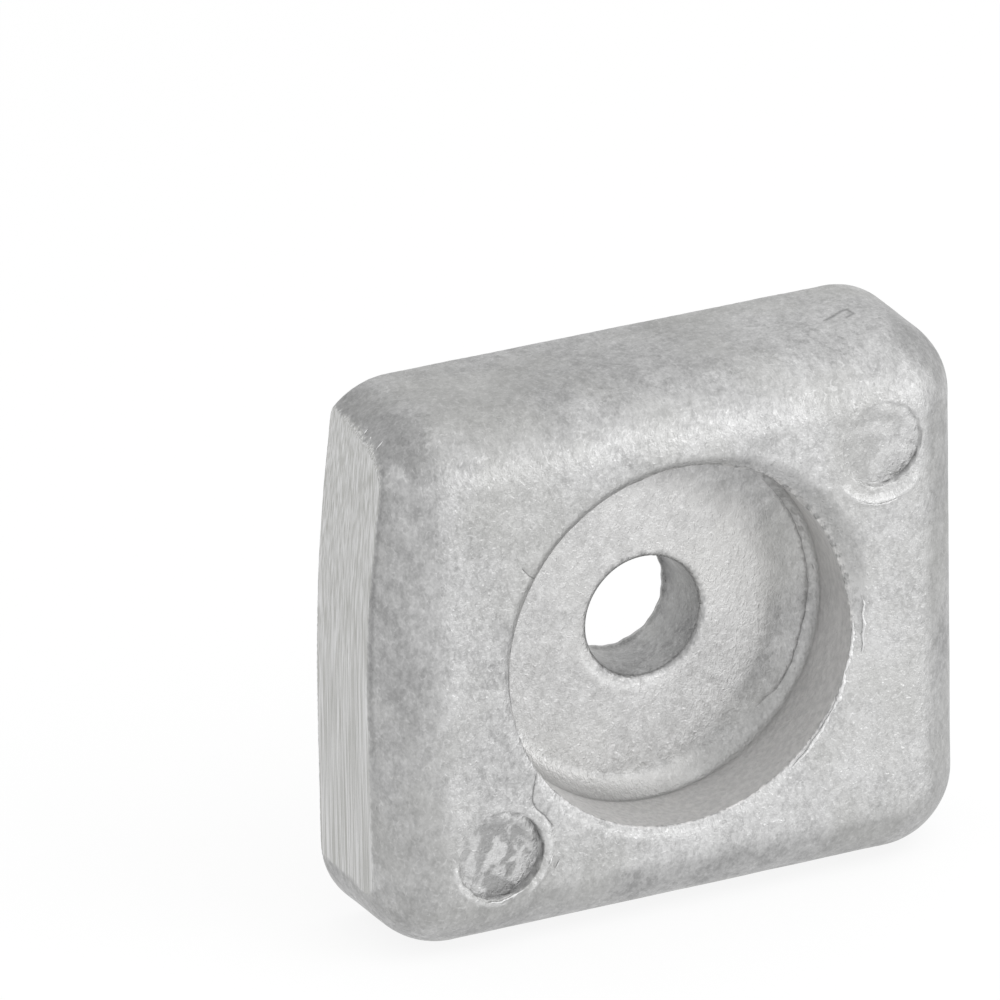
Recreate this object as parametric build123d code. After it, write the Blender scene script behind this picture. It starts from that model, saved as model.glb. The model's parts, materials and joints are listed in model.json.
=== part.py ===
"""Sacrificial anode: one die-cast block with a counterbored bolt hole.

The block stands on its bottom side. Its mounting face looks along +Y, the
counterbored front looks along -Y, and +Z is up. The origin is where the
bolt hole's axis meets the mounting face. All sizes are in millimetres.
"""
from build123d import *
import os
from math import radians, sqrt, tan

# Block
block_width = 36.0
block_height = 31.6
block_depth = 9.3
front_edge_radius = 4.1      # large soft edge all round the front
corner_land = 0.6            # what an outline corner has over the front edge's radius
back_edge_radius = 0.5
side_draft = 1.0             # degrees, narrowing towards the front
hole_above_middle = 0.2      # bolt hole's axis, above the block's middle

# Bolt hole, for an M6 bolt
hole_diameter = 6.8          # of its straight part, from the mounting face
hole_lead = 1.8              # drafted part, under the counterbore's floor
hole_draft = 3.0             # degrees, opening towards the front
hole_rim_chamfer = 0.28

# Counterbore for the bolt's head and washer
counterbore_diameter = 21.0  # at the front face
counterbore_depth = 4.9
counterbore_draft = 2.0      # degrees
counterbore_foot_radius = 1.3

# Ejector pin marks, at the front's upper right and lower left corners
pin_mark_diameter = 5.2
pin_mark_depth = 0.3
pin_mark_tilt = 3.0          # degrees, deeper towards the lower right
right_mark_inset = 5.6       # from the block's right side to the mark's middle
left_mark_inset = 6.7
mark_height_inset = 6.0      # from the block's top or bottom

# Left side, ground where the gate was cut off
ground_depth = 0.06          # taken off the side at its back
ground_tilt = 2.2            # degrees, deeper towards the front
ground_crown_start = -5.5    # height over the block's middle where the crown starts
ground_crown_radius = 140.0

# Shallow strip recess under the top of the mounting face
strip_side_margin = 1.5
strip_below_top = 2.1
strip_above_hole = 2.4
strip_depth = 0.5
strip_corner_radius = 0.5
notch_width = 6.2            # step in the middle of the strip's lower edge
notch_height = 0.45

# Bare label recess between the bolt hole and the bottom of the mounting face
label_width = 22.2           # at its floor
label_off_centre = 0.5
label_below_hole = 2.5
label_above_bottom = 2.8
label_depth = 0.6
label_corner_radius = 0.4
label_wall_slope = 40.0      # degrees from square

# Cutters reach this far past what they cut
overrun = 1.0

# Places and sizes that follow from those above
corner_radius = front_edge_radius + corner_land
block_middle = -hole_above_middle
block_top = block_middle + block_height / 2
block_bottom = block_middle - block_height / 2
floor_thickness = block_depth - counterbore_depth
hole_radius = hole_diameter / 2


def front_plane(height=0.0):
    """Plane that looks out of the front, at a height above the mounting face."""
    return Plane(origin=(0, -height, 0), x_dir=(1, 0, 0), z_dir=(0, -1, 0))


def back_plane(depth):
    """Plane that looks out of the mounting face, sunk into it by a depth."""
    return Plane(origin=(0, -depth, 0), x_dir=(-1, 0, 0), z_dir=(0, 1, 0))


def cast_block():
    """Drafted block with its outline corners, front edge and back edge rounded."""
    outline = Pos(0, block_middle) * RectangleRounded(block_width, block_height, corner_radius)
    block = extrude(front_plane() * outline, amount=block_depth, taper=side_draft)
    front_edges = block.faces().sort_by(Axis.Y)[0].edges()
    block = fillet(front_edges, front_edge_radius)
    back_edges = block.faces().sort_by(Axis.Y)[-1].edges()
    return fillet(back_edges, back_edge_radius)


def gate_grinding():
    """What the grinder took off the left side: flat below, crowned inwards above.

    The cutter is turned about the side's back edge, so that it bites deeper
    towards the front.
    """
    ground_x = ground_depth - block_width / 2
    crown_foot = (ground_x, block_middle + ground_crown_start)
    crown_rise = block_top + overrun - crown_foot[1]
    crown_lean = ground_crown_radius - sqrt(ground_crown_radius**2 - crown_rise**2)
    crown_head = (ground_x + crown_lean, crown_foot[1] + crown_rise)
    foot = (ground_x, block_bottom - overrun)
    outer_x = ground_x - crown_lean - overrun
    side = Line(foot, crown_foot)
    side += TangentArc(crown_foot, crown_head, tangent=(0, 1))
    side += Polyline(crown_head, (outer_x, crown_head[1]), (outer_x, foot[1]), foot)
    cutter = extrude(front_plane(-overrun) * make_face(side), amount=block_depth + 2 * overrun)
    return cutter.rotate(Axis((ground_x, 0, 0), (0, 0, 1)), ground_tilt)


def bolt_passage():
    """Bolt hole and counterbore as one turned section, from the back to the front.

    The hole runs straight, then opens with its draft up to a chamfered rim. The
    counterbore's floor meets its drafted wall in a soft foot.
    """
    rim_start = floor_thickness - hole_rim_chamfer
    rim_radius = hole_radius + (hole_lead - hole_rim_chamfer) * tan(radians(hole_draft))
    wall_slope = tan(radians(counterbore_draft))
    behind = -overrun
    before = block_depth + overrun
    hole_back = (hole_radius, behind)
    lead_start = (hole_radius, floor_thickness - hole_lead)
    rim = (rim_radius + hole_rim_chamfer, floor_thickness)
    wall_foot = (counterbore_diameter / 2 - counterbore_depth * wall_slope, floor_thickness)
    wall_head = (counterbore_diameter / 2 + overrun * wall_slope, before)
    section = Polyline(hole_back, lead_start, (rim_radius, rim_start), rim)
    section += FilletPolyline(rim, wall_foot, wall_head, radius=counterbore_foot_radius)
    section += Polyline(wall_head, (0, before), (0, behind), hole_back)
    half_section = Plane(origin=(0, 0, 0), x_dir=(1, 0, 0), z_dir=(0, 0, -1))
    return revolve(half_section * make_face(section), Axis.Y)


def pin_mark(x, z):
    """Round mark of an ejector pin, tilted so that it is deeper at the lower right."""
    floor = front_plane(block_depth - pin_mark_depth)
    pin_height = pin_mark_depth + 2 * overrun
    pin = Cylinder(pin_mark_diameter / 2, pin_height, align=(Align.CENTER, Align.CENTER, Align.MIN))
    return floor * Pos(x, z) * Rot(pin_mark_tilt, pin_mark_tilt, 0) * pin


def strip_recess():
    """Shallow strip recess across the top of the mounting face, with its notch."""
    top = block_top - strip_below_top
    bottom = hole_radius + strip_above_hole
    width = block_width - 2 * strip_side_margin
    strip = Pos(0, (top + bottom) / 2) * RectangleRounded(width, top - bottom, strip_corner_radius)
    notch = Pos(0, bottom) * Rectangle(notch_width, 2 * notch_height)
    return extrude(back_plane(strip_depth) * (strip + notch), amount=strip_depth + overrun)


def label_recess():
    """Bare label recess with sloping walls, low on the mounting face."""
    top = -hole_radius - label_below_hole
    bottom = block_bottom + label_above_bottom
    floor = RectangleRounded(label_width, top - bottom, label_corner_radius)
    floor = back_plane(label_depth) * Pos(-label_off_centre, (top + bottom) / 2) * floor
    return extrude(floor, amount=label_depth, taper=-label_wall_slope)


casting = cast_block() - gate_grinding() - bolt_passage()
casting -= pin_mark(block_width / 2 - right_mark_inset, block_top - mark_height_inset)
casting -= pin_mark(left_mark_inset - block_width / 2, block_bottom + mark_height_inset)
casting -= strip_recess()
casting -= label_recess()

os.makedirs("parts", exist_ok=True)
export_step(casting, "parts/anode_casting.step")
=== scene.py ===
"""Looks of a die-cast sacrificial anode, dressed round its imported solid.

The casting is one closed mesh made of fine sheets that meet edge to edge: the
front with the start of its soft rounding, the band round the outside, the
counterbore, the bolt hole and the mounting face. A node tree then gives it the
relief of its cast and ground skins, and another draws the thin burrs on its edges.
Lengths are in millimetres, except in the properties and the final meshes.
"""
import json
import math

import bmesh
import bpy
import numpy as np
from bpy.props import FloatProperty, FloatVectorProperty, IntProperty, PointerProperty
from mathutils import Matrix, Vector
from mathutils.geometry import delaunay_2d_cdt
from mathutils.kdtree import KDTree


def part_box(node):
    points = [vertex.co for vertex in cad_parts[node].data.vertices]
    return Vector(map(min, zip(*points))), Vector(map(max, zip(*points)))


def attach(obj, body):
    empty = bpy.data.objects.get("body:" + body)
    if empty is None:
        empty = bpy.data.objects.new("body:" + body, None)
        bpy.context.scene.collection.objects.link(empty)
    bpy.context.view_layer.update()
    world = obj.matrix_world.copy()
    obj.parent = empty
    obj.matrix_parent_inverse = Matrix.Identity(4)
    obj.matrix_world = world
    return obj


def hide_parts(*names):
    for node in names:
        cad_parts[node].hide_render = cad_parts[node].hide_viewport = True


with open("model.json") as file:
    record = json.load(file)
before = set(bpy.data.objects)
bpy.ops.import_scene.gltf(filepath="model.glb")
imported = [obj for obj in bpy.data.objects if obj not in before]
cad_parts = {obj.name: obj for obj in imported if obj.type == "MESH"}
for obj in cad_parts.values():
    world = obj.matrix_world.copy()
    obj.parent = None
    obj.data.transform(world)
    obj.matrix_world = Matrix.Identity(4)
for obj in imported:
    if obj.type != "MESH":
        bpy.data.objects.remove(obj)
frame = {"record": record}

bl_info = {
    "name": "Sacrificial Anode",
    "version": (1, 0, 0),
    "blender": (4, 5, 0),
    "location": "3D View > Sidebar > Anode",
    "description": "Builds the looks of a die-cast sacrificial anode",
    "category": "Add Mesh",
}

MM = 0.001
CASTING_NODE = "anode_casting"

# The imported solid's box, and the bolt hole's wall from its record
solid_low, solid_high = (np.array(corner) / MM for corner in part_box(CASTING_NODE))
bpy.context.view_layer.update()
hole_mount = next(m for m in frame["record"]["mounts"] if m["name"] == "bolt_hole")
HOLE_RADIUS = hole_mount["dims"]["r_mm"]
HOLE_STRAIGHT = hole_mount["dims"]["length_mm"]

# Outer form. A turn is the angle that the surface has turned from facing forwards
FRONT_DEPTH = -solid_low[1]
CORNER_RADIUS = 4.7
FRONT_EDGE_RADIUS = 4.1
BACK_EDGE_RADIUS = 0.5
SIDE_DRAFT = math.radians(1.0)
SIDE_TURN = math.radians(90.0) - SIDE_DRAFT
BAND_TURN = math.radians(60.0)       # where the front sheet ends and the outer band starts
FRONT_EDGE_DEPTH = FRONT_DEPTH - FRONT_EDGE_RADIUS
FLAT_REACH = (
    CORNER_RADIUS - FRONT_EDGE_DEPTH * math.tan(SIDE_DRAFT) - FRONT_EDGE_RADIUS / math.cos(SIDE_DRAFT)
)
BACK_FLAT_REACH = (
    CORNER_RADIUS - BACK_EDGE_RADIUS * math.tan(SIDE_DRAFT) - BACK_EDGE_RADIUS / math.cos(SIDE_DRAFT)
)
WIDEST_REACH = BACK_FLAT_REACH + BACK_EDGE_RADIUS
BLOCK_MIDDLE = np.array([0.0, (solid_low[2] + solid_high[2]) / 2])
CORE_HALF = np.array([solid_high[0], (solid_high[2] - solid_low[2]) / 2]) - WIDEST_REACH
BLOCK_TOP = BLOCK_MIDDLE[1] + CORE_HALF[1] + CORNER_RADIUS
BLOCK_BOTTOM = BLOCK_MIDDLE[1] - CORE_HALF[1] - CORNER_RADIUS
FLOOR_HEIGHT = solid_low[2]
CORNER_ARC = math.pi / 2 * CORNER_RADIUS

# Left side, ground where the gate was cut off
GROUND_DEPTH = 0.06                  # taken off the side at its back
GROUND_X = GROUND_DEPTH - CORE_HALF[0] - CORNER_RADIUS
GROUND_TILT = math.tan(math.radians(1.1))
GROUND_CROWN_START = BLOCK_MIDDLE[1] - 5.5
GROUND_CROWN_RADIUS = 140.0
GROUND_CROWN_FADE = 14.4             # the crown weakens towards the front, and would be gone this deep
GROUND_BITE_START = 3.5              # depth from which its front edge wanders
GROUND_BITE_RUN = 4.0
GROUND_TOP_START = 11.5              # height from which the grinding runs on over the corner
GROUND_TOP_RUN = 2.5
GROUND_RUN_ON = 0.2
GROUND_RAGGED = 0.025
GROUND_TOP_RAGGED = 0.14
GROUND_SHARES = (0.62, 0.90)         # of the way round, between which the ground side lies

# How much deeper the grinding bites at its front edge, by height
GROUND_BITE = (
    (-14.0, 0.12), (-11.9, 0.12), (-3.0, 0.08), (1.0, -0.02),
    (5.0, -0.08), (9.5, -0.04), (12.0, 0.05), (14.0, 0.0),
)

# Counterbore and bolt hole
MOUTH_RADIUS = 10.5
SOCKET_FLOOR = 4.4                   # thickness left under the counterbore
WALL_DRAFT = math.tan(math.radians(2.0))
LIP_WIDTH = 0.6                      # soft edge round the counterbore's mouth
LIP_DROP = 0.22
LIP_TILT = (0.13, 112.0)             # how much deeper it is on one side, and that side's angle
MOUTH_RAGGED = 0.06
FOOT_RADIUS = 1.3
WIDE_FOOT = 2.3                      # the foot's run on its right, where it is broad and low
LOW_FOOT = 0.95
HOLE_DRAFT = math.tan(math.radians(3.0))
HOLE_RIM = 0.28
FLASH_LIP = 0.13                     # thin flash inside the hole's back end
FLASH_THICKNESS = 0.28
PAD_MIDDLE = (-1.1, -0.75)           # of the flaky round patch on the counterbore's floor
PAD_RADIUS = 8.0

# Radii at which the counterbore's floor, foot and wall end where it is rolled out flat
SOCKET_ROLLED = (8.2, 10.2, 14.3)

# Changes round the hole's axis, as sums of lobes: strength, middle and half width in degrees
LIP_DEEPER = ((0.4, 25.0, 38.0),)
LIP_BROADER = ((0.45, -98.0, 60.0), (1.1, 32.0, 50.0))
# Painted shade on the soft edge round the mouth, mostly over its upper half
LIP_SHADE = ((0.3, 100.0, 110.0), (0.1, 28.0, 45.0))
MOUTH_BULGE = ((0.3, 27.0, 36.0),)
FOOT_CREASE = ((0.9, -97.0, 42.0), (0.5, -7.0, 40.0))
# Painted light on the counterbore's foot and floor, and painted shade on its foot
FOOT_LIT = ((0.5, -118.0, 58.0), (0.1, 0.0, 60.0))
FOOT_SHADED = ((0.03, -35.0, 120.0), (0.1, -80.0, 55.0))
FLOOR_LIT = ((0.12, 60.0, 90.0), (0.1, 5.0, 50.0))
BELOW_MOUTH = ((1.0, -98.0, 58.0),)
# Painted shade in the bolt hole: on its right, and in a nook at its upper right
HOLE_DARKER = ((0.3, 8.0, 75.0),)
HOLE_NOOK = ((0.4, 42.0, 50.0),)

# Ragged lines, as harmonics: how often each swings in a full turn or in 2 pi mm, and its phase
GROUND_WAVE = ((4.1, 0.3), (9.7, 1.9), (23.0, 0.8))
GROUND_TOP_WAVE = ((3.7, 0.2), (11.3, 1.1), (23.0, 2.4))
LIP_WAVE = ((3, 0.4), (8, 2.0))
MOUTH_WAVE = ((13, 0.5), (23, 1.1), (37, 2.3))
RIDGE_WAVE = ((5.0, 0.3), (11.0, 1.9), (19.0, 0.8))
FOOT_CRACK_WAVE = ((13, 1.7), (41, 2.0), (67, 0.9))
FLASH_WAVE = ((2, 0.5), (5, 1.4), (11, 2.0), (23, 0.2))

# Ejector pin marks: middle, radius, depth of the floor at its middle, its tilt, and how rough it is
PIN_WALL = 0.1
PIN_MARKS = (((12.27, 9.6), 2.47, 0.18, 0.045, 0.4), ((-11.3, -10.0), 2.6, 0.25, 0.07, 1.0))

# Recesses of the mounting face
STRIP_HALF = 16.5
STRIP_TOP = BLOCK_TOP - 2.1
STRIP_FOOT = HOLE_RADIUS + 2.4
STRIP_DEPTH = 0.5
NOTCH_HALF = 3.1
NOTCH_HEIGHT = 0.45
LABEL_HALF = 11.1
LABEL_MIDDLE = 0.5
LABEL_TOP = -HOLE_RADIUS - 2.5
LABEL_FOOT = BLOCK_BOTTOM + 2.8
LABEL_DEPTH = 0.6
LABEL_WALL = LABEL_DEPTH * math.tan(math.radians(40.0))
STRIP_CORNER = 0.12
LABEL_CORNER = 0.3
SHARP_WALL = 0.08                    # run of a steep wall's drafted face

# Spacing of the mesh points
FRONT_STEP = 0.175
SOCKET_STEP = 0.19
HOLE_STEP = 0.2
BAND_STEP = 0.27
GROUND_STEP = (0.36, 0.085)          # along the grinding marks, and across them
BACK_STEP = 0.33
RING_STEP = 0.19
PIN_STEP = 0.15
MARK_STEP = 0.11
LIP_RUNS = (0.12, 0.3)               # rings of points beside the counterbore's mouth
PIN_RUNS = (0.07, 0.0, -PIN_WALL, -PIN_WALL - 0.08)
EDGE_MARGIN = 0.05                   # loose points keep this far from a sheet's edge
BACK_MARGIN = 0.1
ROW_RATIO = 0.866                    # height of a row of even triangles, to their side
LOOSENESS = 0.22                     # how far a grid's points are moved, as a share of its step
SEED = 7

# Cracks and scratches on the front, as listed points, with width and depth
FRONT_MARKS = (
    (((-9.05, -5.75), (-9.28, -6.5), (-9.34, -7.19), (-9.13, -7.66), (-8.6, -8.2), (-8.2, -8.8)), 0.07, 0.09),
    (((-9.66, 6.59), (-9.3, 6.15), (-8.89, 5.84)), 0.06, 0.05),
)

# Crack in the counterbore's foot: angle in degrees, and distance from the hole's axis
FOOT_CRACK = (
    (44.0, 9.93), (23.0, 9.91), (0.0, 9.85), (-17.0, 9.77), (-30.0, 9.83), (-36.0, 9.8), (-44.0, 9.5),
)
FOOT_CRACK_WIDTH = 0.028
FOOT_CRACK_DEPTH = 0.05
FOOT_CRACK_RAGGED = 0.035
FOOT_CRACK_POINTS = 200

# Worm-like scar on the block's top, as listed x and depth
TOP_SCAR = ((11.06, 4.86), (11.71, 4.56), (12.41, 4.14), (12.83, 4.05), (12.92, 4.71), (12.32, 5.03))
SCAR_WIDTH = 0.17
SCAR_SHARE = 0.7

# Finer mesh round the scar: its right end's x, how far down the outer band it starts, its size and step
SCAR_RIGHT = 13.2
SCAR_START = 2.1
SCAR_SIZE = (2.5, 1.6)
SCAR_STEP = 0.1

# Painted shade, darker skin at the upper corners: its middle, radius, share, and the depth that it starts at
SHADE_SPOTS = (
    ((-15.9, 14.4), 1.5, 0.34, 0.0), ((15.0, 14.6), 0.9, 0.26, 5.5), ((15.8, 13.8), 0.9, 0.26, 5.5),
    ((16.4, 13.0), 0.8, 0.26, 5.5),
)

# Flakier, brighter strips along the front's left and top, as painted highlights: axis, its middle's place
# there, half width and share
HIGHLIGHT_STRIPS = ((0, -14.4, 1.9, 0.3), (1, 12.7, 1.6, 0.4))

# Flakier, brighter patches of the front, a painted highlight at its upper left and painted light at its lower
# right: middle, radius and share
LIT_PATCHES = (((-16.3, 13.0), 0.75, 0.64), ((12.5, -7.0), 5.0, 0.4))
BRIGHT_BELOW = 0.6                   # share below the counterbore
BRIGHT_RIDGE = 0.7

# Metal pushed up beside the pin marks, as listed points, with width and height
FRONT_RIDGES = (
    (((9.9, 7.3), (10.4, 6.8), (10.92, 6.5), (11.65, 6.3), (12.76, 6.3), (13.81, 6.7), (14.3, 7.2)),
     0.34, 0.2),
    (((-14.1, -10.2), (-14.0, -11.0), (-13.5, -11.9), (-12.8, -12.5), (-12.0, -12.88), (-11.0, -12.95)),
     0.26, 0.1),
    (((-8.5, -8.8), (-8.3, -10.0), (-8.5, -11.0), (-9.0, -11.9), (-9.6, -12.4)), 0.28, 0.12),
)

# Burrs on the front, as listed x and z, with how thick each is
FRONT_BURRS = (
    (((10.5, -0.4), (10.44, -1.4), (10.15, -2.8), (9.78, -3.7)), 2.6),
    (((9.9, -3.3), (9.73, -4.16), (9.4, -5.0), (9.0, -5.69)), 3.0),
    (((9.1, -5.5), (8.37, -6.64), (7.44, -7.76), (6.56, -8.48)), 2.1),
    (((10.98, 0.9), (11.1, 0.3), (10.98, -0.3), (11.06, -0.9), (10.92, -1.5), (10.97, -2.0), (10.85, -2.5)),
     1.7),
    (((-12.3, -12.65), (-11.35, -12.78), (-10.64, -12.56), (-9.9, -12.3)), 1.2),
    (((10.3, 6.9), (10.92, 6.4), (11.65, 6.2)), 1.0),
    (((11.5, 6.2), (12.3, 6.1), (13.1, 6.3)), 1.3),
    (((-8.5, -11.1), (-8.2, -10.6)), 0.9),
    (((-8.1, -11.5), (-7.7, -10.9)), 0.7),
)

# Burrs where the grinding ends at the top, as listed x, depth and z
SIDE_BURRS = (
    (((-16.56, 2.15, 14.23), (-16.77, 2.13, 13.54)), 0.8),
    (((-16.63, 2.84, 14.14), (-16.8, 2.84, 13.74)), 0.8),
    (((-16.38, 4.3, 14.35), (-16.64, 4.32, 14.1)), 0.8),
    (((-16.34, 6.04, 14.25), (-16.76, 6.04, 13.82)), 0.8),
    (((-16.53, 4.97, 14.19), (-16.64, 5.06, 14.08)), 0.8),
)
BURR_STEP = 0.12
BURR_LIFT = 0.04                     # burrs on the front stand this far proud


def smooth(share):
    """Soft step from 0 to 1."""
    share = np.clip(share, 0.0, 1.0)
    return share * share * (3.0 - 2.0 * share)


def ramp(value, start, run):
    """Soft step from 0 at a start to 1 a run past it."""
    return smooth((value - start) / run)


def hump(gap, width, peak=1.0):
    """Soft hump over a gap of 0. It ends at peak times its width, and a peak over 1 flattens its top."""
    return smooth(peak - np.abs(gap) / width)


def wave(angle, phases):
    """Sum of a few harmonics round a circle, from about -1 to 1, for a ragged line."""
    total = sum(np.sin(order * angle + phase) for order, phase in phases)
    return total / len(phases)


def lobe(angle, middle, half):
    """1 at one angle round a circle, and 0 from half a width off it. The last two are in degrees."""
    edge = math.cos(math.radians(half))
    return smooth((np.cos(angle - math.radians(middle)) - edge) / (1.0 - edge))


def lobes(angle, parts):
    """Sum of lobes round a circle, each with its strength, middle and half width."""
    return sum(strength * lobe(angle, middle, half) for strength, middle, half in parts)


def ring(radius, step):
    """Angles evenly spaced round a circle at about one step."""
    count = int(round(2 * math.pi * radius / step))
    return np.arange(count) * (2 * math.pi / count)


def circle(middle, radius, angles):
    """Points of a circle at the given angles."""
    return np.stack([middle[0] + radius * np.cos(angles), middle[1] + radius * np.sin(angles)], axis=1)


def along(points, step):
    """Points of an open path at an even step."""
    points = np.asarray(points, float)
    lengths = np.concatenate([[0.0], np.cumsum(np.hypot(*np.diff(points, axis=0).T))])
    count = max(2, int(round(lengths[-1] / step)) + 1)
    places = np.linspace(0.0, lengths[-1], count)
    return np.stack([np.interp(places, lengths, points[:, k]) for k in (0, 1)], axis=1)


def beside(path, offset):
    """The same path moved sideways."""
    direction = np.gradient(path, axis=0)
    direction /= np.hypot(*direction.T)[:, None]
    return path + offset * np.stack([-direction[:, 1], direction[:, 0]], axis=1)


def distance_to(points, path):
    """Distance of each point to an open path."""
    nearest = np.full(len(points), np.inf)
    for start, end in zip(path[:-1], path[1:]):
        run = end - start
        share = np.clip(((points - start) @ run) / (run @ run), 0.0, 1.0)
        nearest = np.minimum(nearest, np.hypot(*(points - start - share[:, None] * run).T))
    return nearest


def rounded_loop(corners, radius, grow, step):
    """Closed outline of a polygon of right angles, grown outwards, with its corners rounded."""
    corners = np.asarray(corners, float)
    loop = []
    for before, corner, after in zip(np.roll(corners, 1, axis=0), corners, np.roll(corners, -1, axis=0)):
        arrive = (corner - before) / np.hypot(*(corner - before))
        leave = (after - corner) / np.hypot(*(after - corner))
        turn = arrive[0] * leave[1] - arrive[1] * leave[0]
        out = np.array([arrive[1], -arrive[0]]) + np.array([leave[1], -leave[0]])
        reach = max(radius + turn * grow, 0.02)
        tip = corner + out * grow
        middle = tip - turn * out * reach
        angles = np.linspace(0.0, 1.0, max(3, int(math.pi / 2 * reach / step) + 2)) * math.pi / 2
        start = turn * np.array([arrive[1], -arrive[0]])
        loop.append(middle + reach * (np.outer(np.cos(angles), start) + np.outer(np.sin(angles), arrive)))
    joined = []
    for piece, following in zip(loop, loop[1:] + loop[:1]):
        joined.append(piece)
        joined.append(along([piece[-1], following[0]], step)[1:-1])
    return np.concatenate(joined)


def box_distance(points, low, high):
    """Signed distance to an upright box, negative inside it."""
    middle = (np.asarray(low) + np.asarray(high)) / 2
    outside = np.abs(points - middle) - (np.asarray(high) - middle)
    return np.hypot(*np.maximum(outside, 0.0).T) + np.minimum(outside.max(axis=1), 0.0)


def hex_grid(low, high, step, rng):
    """Points of a loosened triangular grid in a box. step may differ along the two axes."""
    step = np.broadcast_to(np.asarray(step, float), 2)
    rows = int((high[1] - low[1]) / (step[1] * ROW_RATIO)) + 1
    columns = int((high[0] - low[0]) / step[0]) + 1
    across, up = np.meshgrid(np.arange(columns), np.arange(rows))
    shift = 0.5 * (up % 2)
    grid = np.stack([(across + shift) * step[0], up * step[1] * ROW_RATIO], axis=-1).reshape(-1, 2)
    return grid + np.asarray(low) + rng.uniform(-LOOSENESS, LOOSENESS, grid.shape) * step


def sheet(grid, borders, holes, lines, clear):
    """Triangles over a flat domain. borders and holes are closed loops, lines are open paths.

    Grid points nearer to a loop or line than clear are left out. Triangles that
    lie in a hole are dropped: all three of their corners are on that hole's loop.
    """
    paths = [(loop, True, False) for loop in borders] + [(loop, True, True) for loop in holes]
    paths += [(line, False, False) for line in lines]
    fixed = np.concatenate([path for path, closed, hollow in paths])
    tree = KDTree(len(fixed))
    for index, point in enumerate(fixed):
        tree.insert((point[0], point[1], 0.0), index)
    tree.balance()
    keep = [tree.find((x, z, 0.0))[2] > clear for x, z in grid.tolist()]
    points = np.concatenate([fixed, grid[np.array(keep)]])
    owner = np.full(len(points), -1)
    edges = []
    start = 0
    for number, (path, closed, hollow) in enumerate(paths):
        last = start + len(path)
        edges += [(index, index + 1) for index in range(start, last - 1)]
        if closed:
            edges.append((last - 1, start))
        if hollow:
            owner[start:last] = number
        start = last
    found = delaunay_2d_cdt([Vector(point) for point in points.tolist()], edges, [], 0, 1e-7)
    source = np.array([made[0] if made else -1 for made in found[3]])
    corners = np.array([(point.x, point.y) for point in found[0]])
    corners_owner = np.where(source >= 0, owner[source], -1)
    faces = np.array([face for face in found[2] if len(face) == 3])
    owners = corners_owner[faces]
    in_hole = (owners[:, 0] >= 0) & (owners[:, 0] == owners[:, 1]) & (owners[:, 1] == owners[:, 2])
    return corners, faces[~in_hole]


def outline_at(share):
    """Nearest point of the block's core, and the direction outwards, a share of the way round."""
    half_x, half_z = CORE_HALF
    stops = (
        (0.0, -half_z, -90.0), (half_x, -half_z, -90.0), (half_x, -half_z, 0.0),
        (half_x, half_z, 0.0), (half_x, half_z, 90.0), (-half_x, half_z, 90.0),
        (-half_x, half_z, 180.0), (-half_x, -half_z, 180.0), (-half_x, -half_z, 270.0),
        (0.0, -half_z, 270.0),
    )
    runs = [half_x]
    for straight in (2 * half_z, 2 * half_x, 2 * half_z, half_x):
        runs += [CORNER_ARC, straight]
    knots = np.concatenate([[0.0], np.cumsum(runs)])
    place = np.asarray(share) * knots[-1]
    x, z, angle = (np.interp(place, knots, [stop[k] for stop in stops]) for k in range(3))
    angle = np.radians(angle)
    return np.stack([x, z], axis=1), np.stack([np.cos(angle), np.sin(angle)], axis=1), knots[-1]


def outline_loop(reach, step):
    """Points round the block at a reach from its core, with their shares of the way round."""
    length = outline_at(np.zeros(1))[2]
    share = np.arange(int(length / step)) / int(length / step)
    core, out, length = outline_at(share)
    return BLOCK_MIDDLE + core + reach * out, share


def ground_plane(z, depth):
    """Where the ground left side lies. Its crown towards the top weakens towards the front."""
    rise = np.maximum(z - GROUND_CROWN_START, 0.0)
    crown = GROUND_CROWN_RADIUS - np.sqrt(GROUND_CROWN_RADIUS**2 - rise**2)
    heights, bites = np.array(GROUND_BITE).T
    bite = np.interp(z, heights, bites) * ramp(depth, GROUND_BITE_START, GROUND_BITE_RUN)
    return GROUND_X + crown * (1.0 - depth / GROUND_CROWN_FADE) + GROUND_TILT * depth + bite


def grind(points):
    """Cuts points back to the ground side. Gives its share, and that of painted shade beside it and at the
    upper corners.
    """
    depth, z = -points[:, 1], points[:, 2]
    limit = ground_plane(z, depth)
    top = ramp(z, GROUND_TOP_START, GROUND_TOP_RUN)
    ragged = GROUND_RAGGED * wave(z, GROUND_WAVE)
    ragged = ragged + GROUND_TOP_RAGGED * wave(depth, GROUND_TOP_WAVE) * top
    run_on = GROUND_RUN_ON * top * ramp(depth, 0.5, 3.0)
    under = limit - points[:, 0] + ragged + run_on
    points[:, 0] = np.maximum(points[:, 0], limit)
    # Painted shade: a thin dark line runs along the grinding's front edge, most towards the top
    edge_shade = hump(under + 0.1, 0.12) * ramp(depth, 3.0, 2.0) * ramp(z, -12.0, 16.0)
    dull = np.zeros(len(points))
    for middle, radius, strength, start in SHADE_SPOTS:
        near = hump(np.hypot(points[:, 0] - middle[0], z - middle[1]), radius, 1.4)
        dull = np.maximum(dull, strength * near * smooth((depth - start) / 1.5 + 1.0))
    share = smooth(under / 0.05 + 0.5)
    return share, np.maximum(0.45 * edge_shade, dull * (1.0 - share))


def lip_drop(angle):
    """How far the soft edge of the counterbore's mouth falls: most at the top left."""
    tilt, side = LIP_TILT
    turned = angle - math.radians(side)
    drop = LIP_DROP + tilt * np.cos(turned) + 0.04 * np.cos(2.0 * turned) + lobes(angle, LIP_DEEPER)
    return drop + 0.03 * wave(angle, LIP_WAVE)


def lip_width(angle):
    """How wide the soft edge is: it broadens at the bottom and at the upper right."""
    return LIP_WIDTH * (1.0 + lobes(angle, LIP_BROADER))


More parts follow.
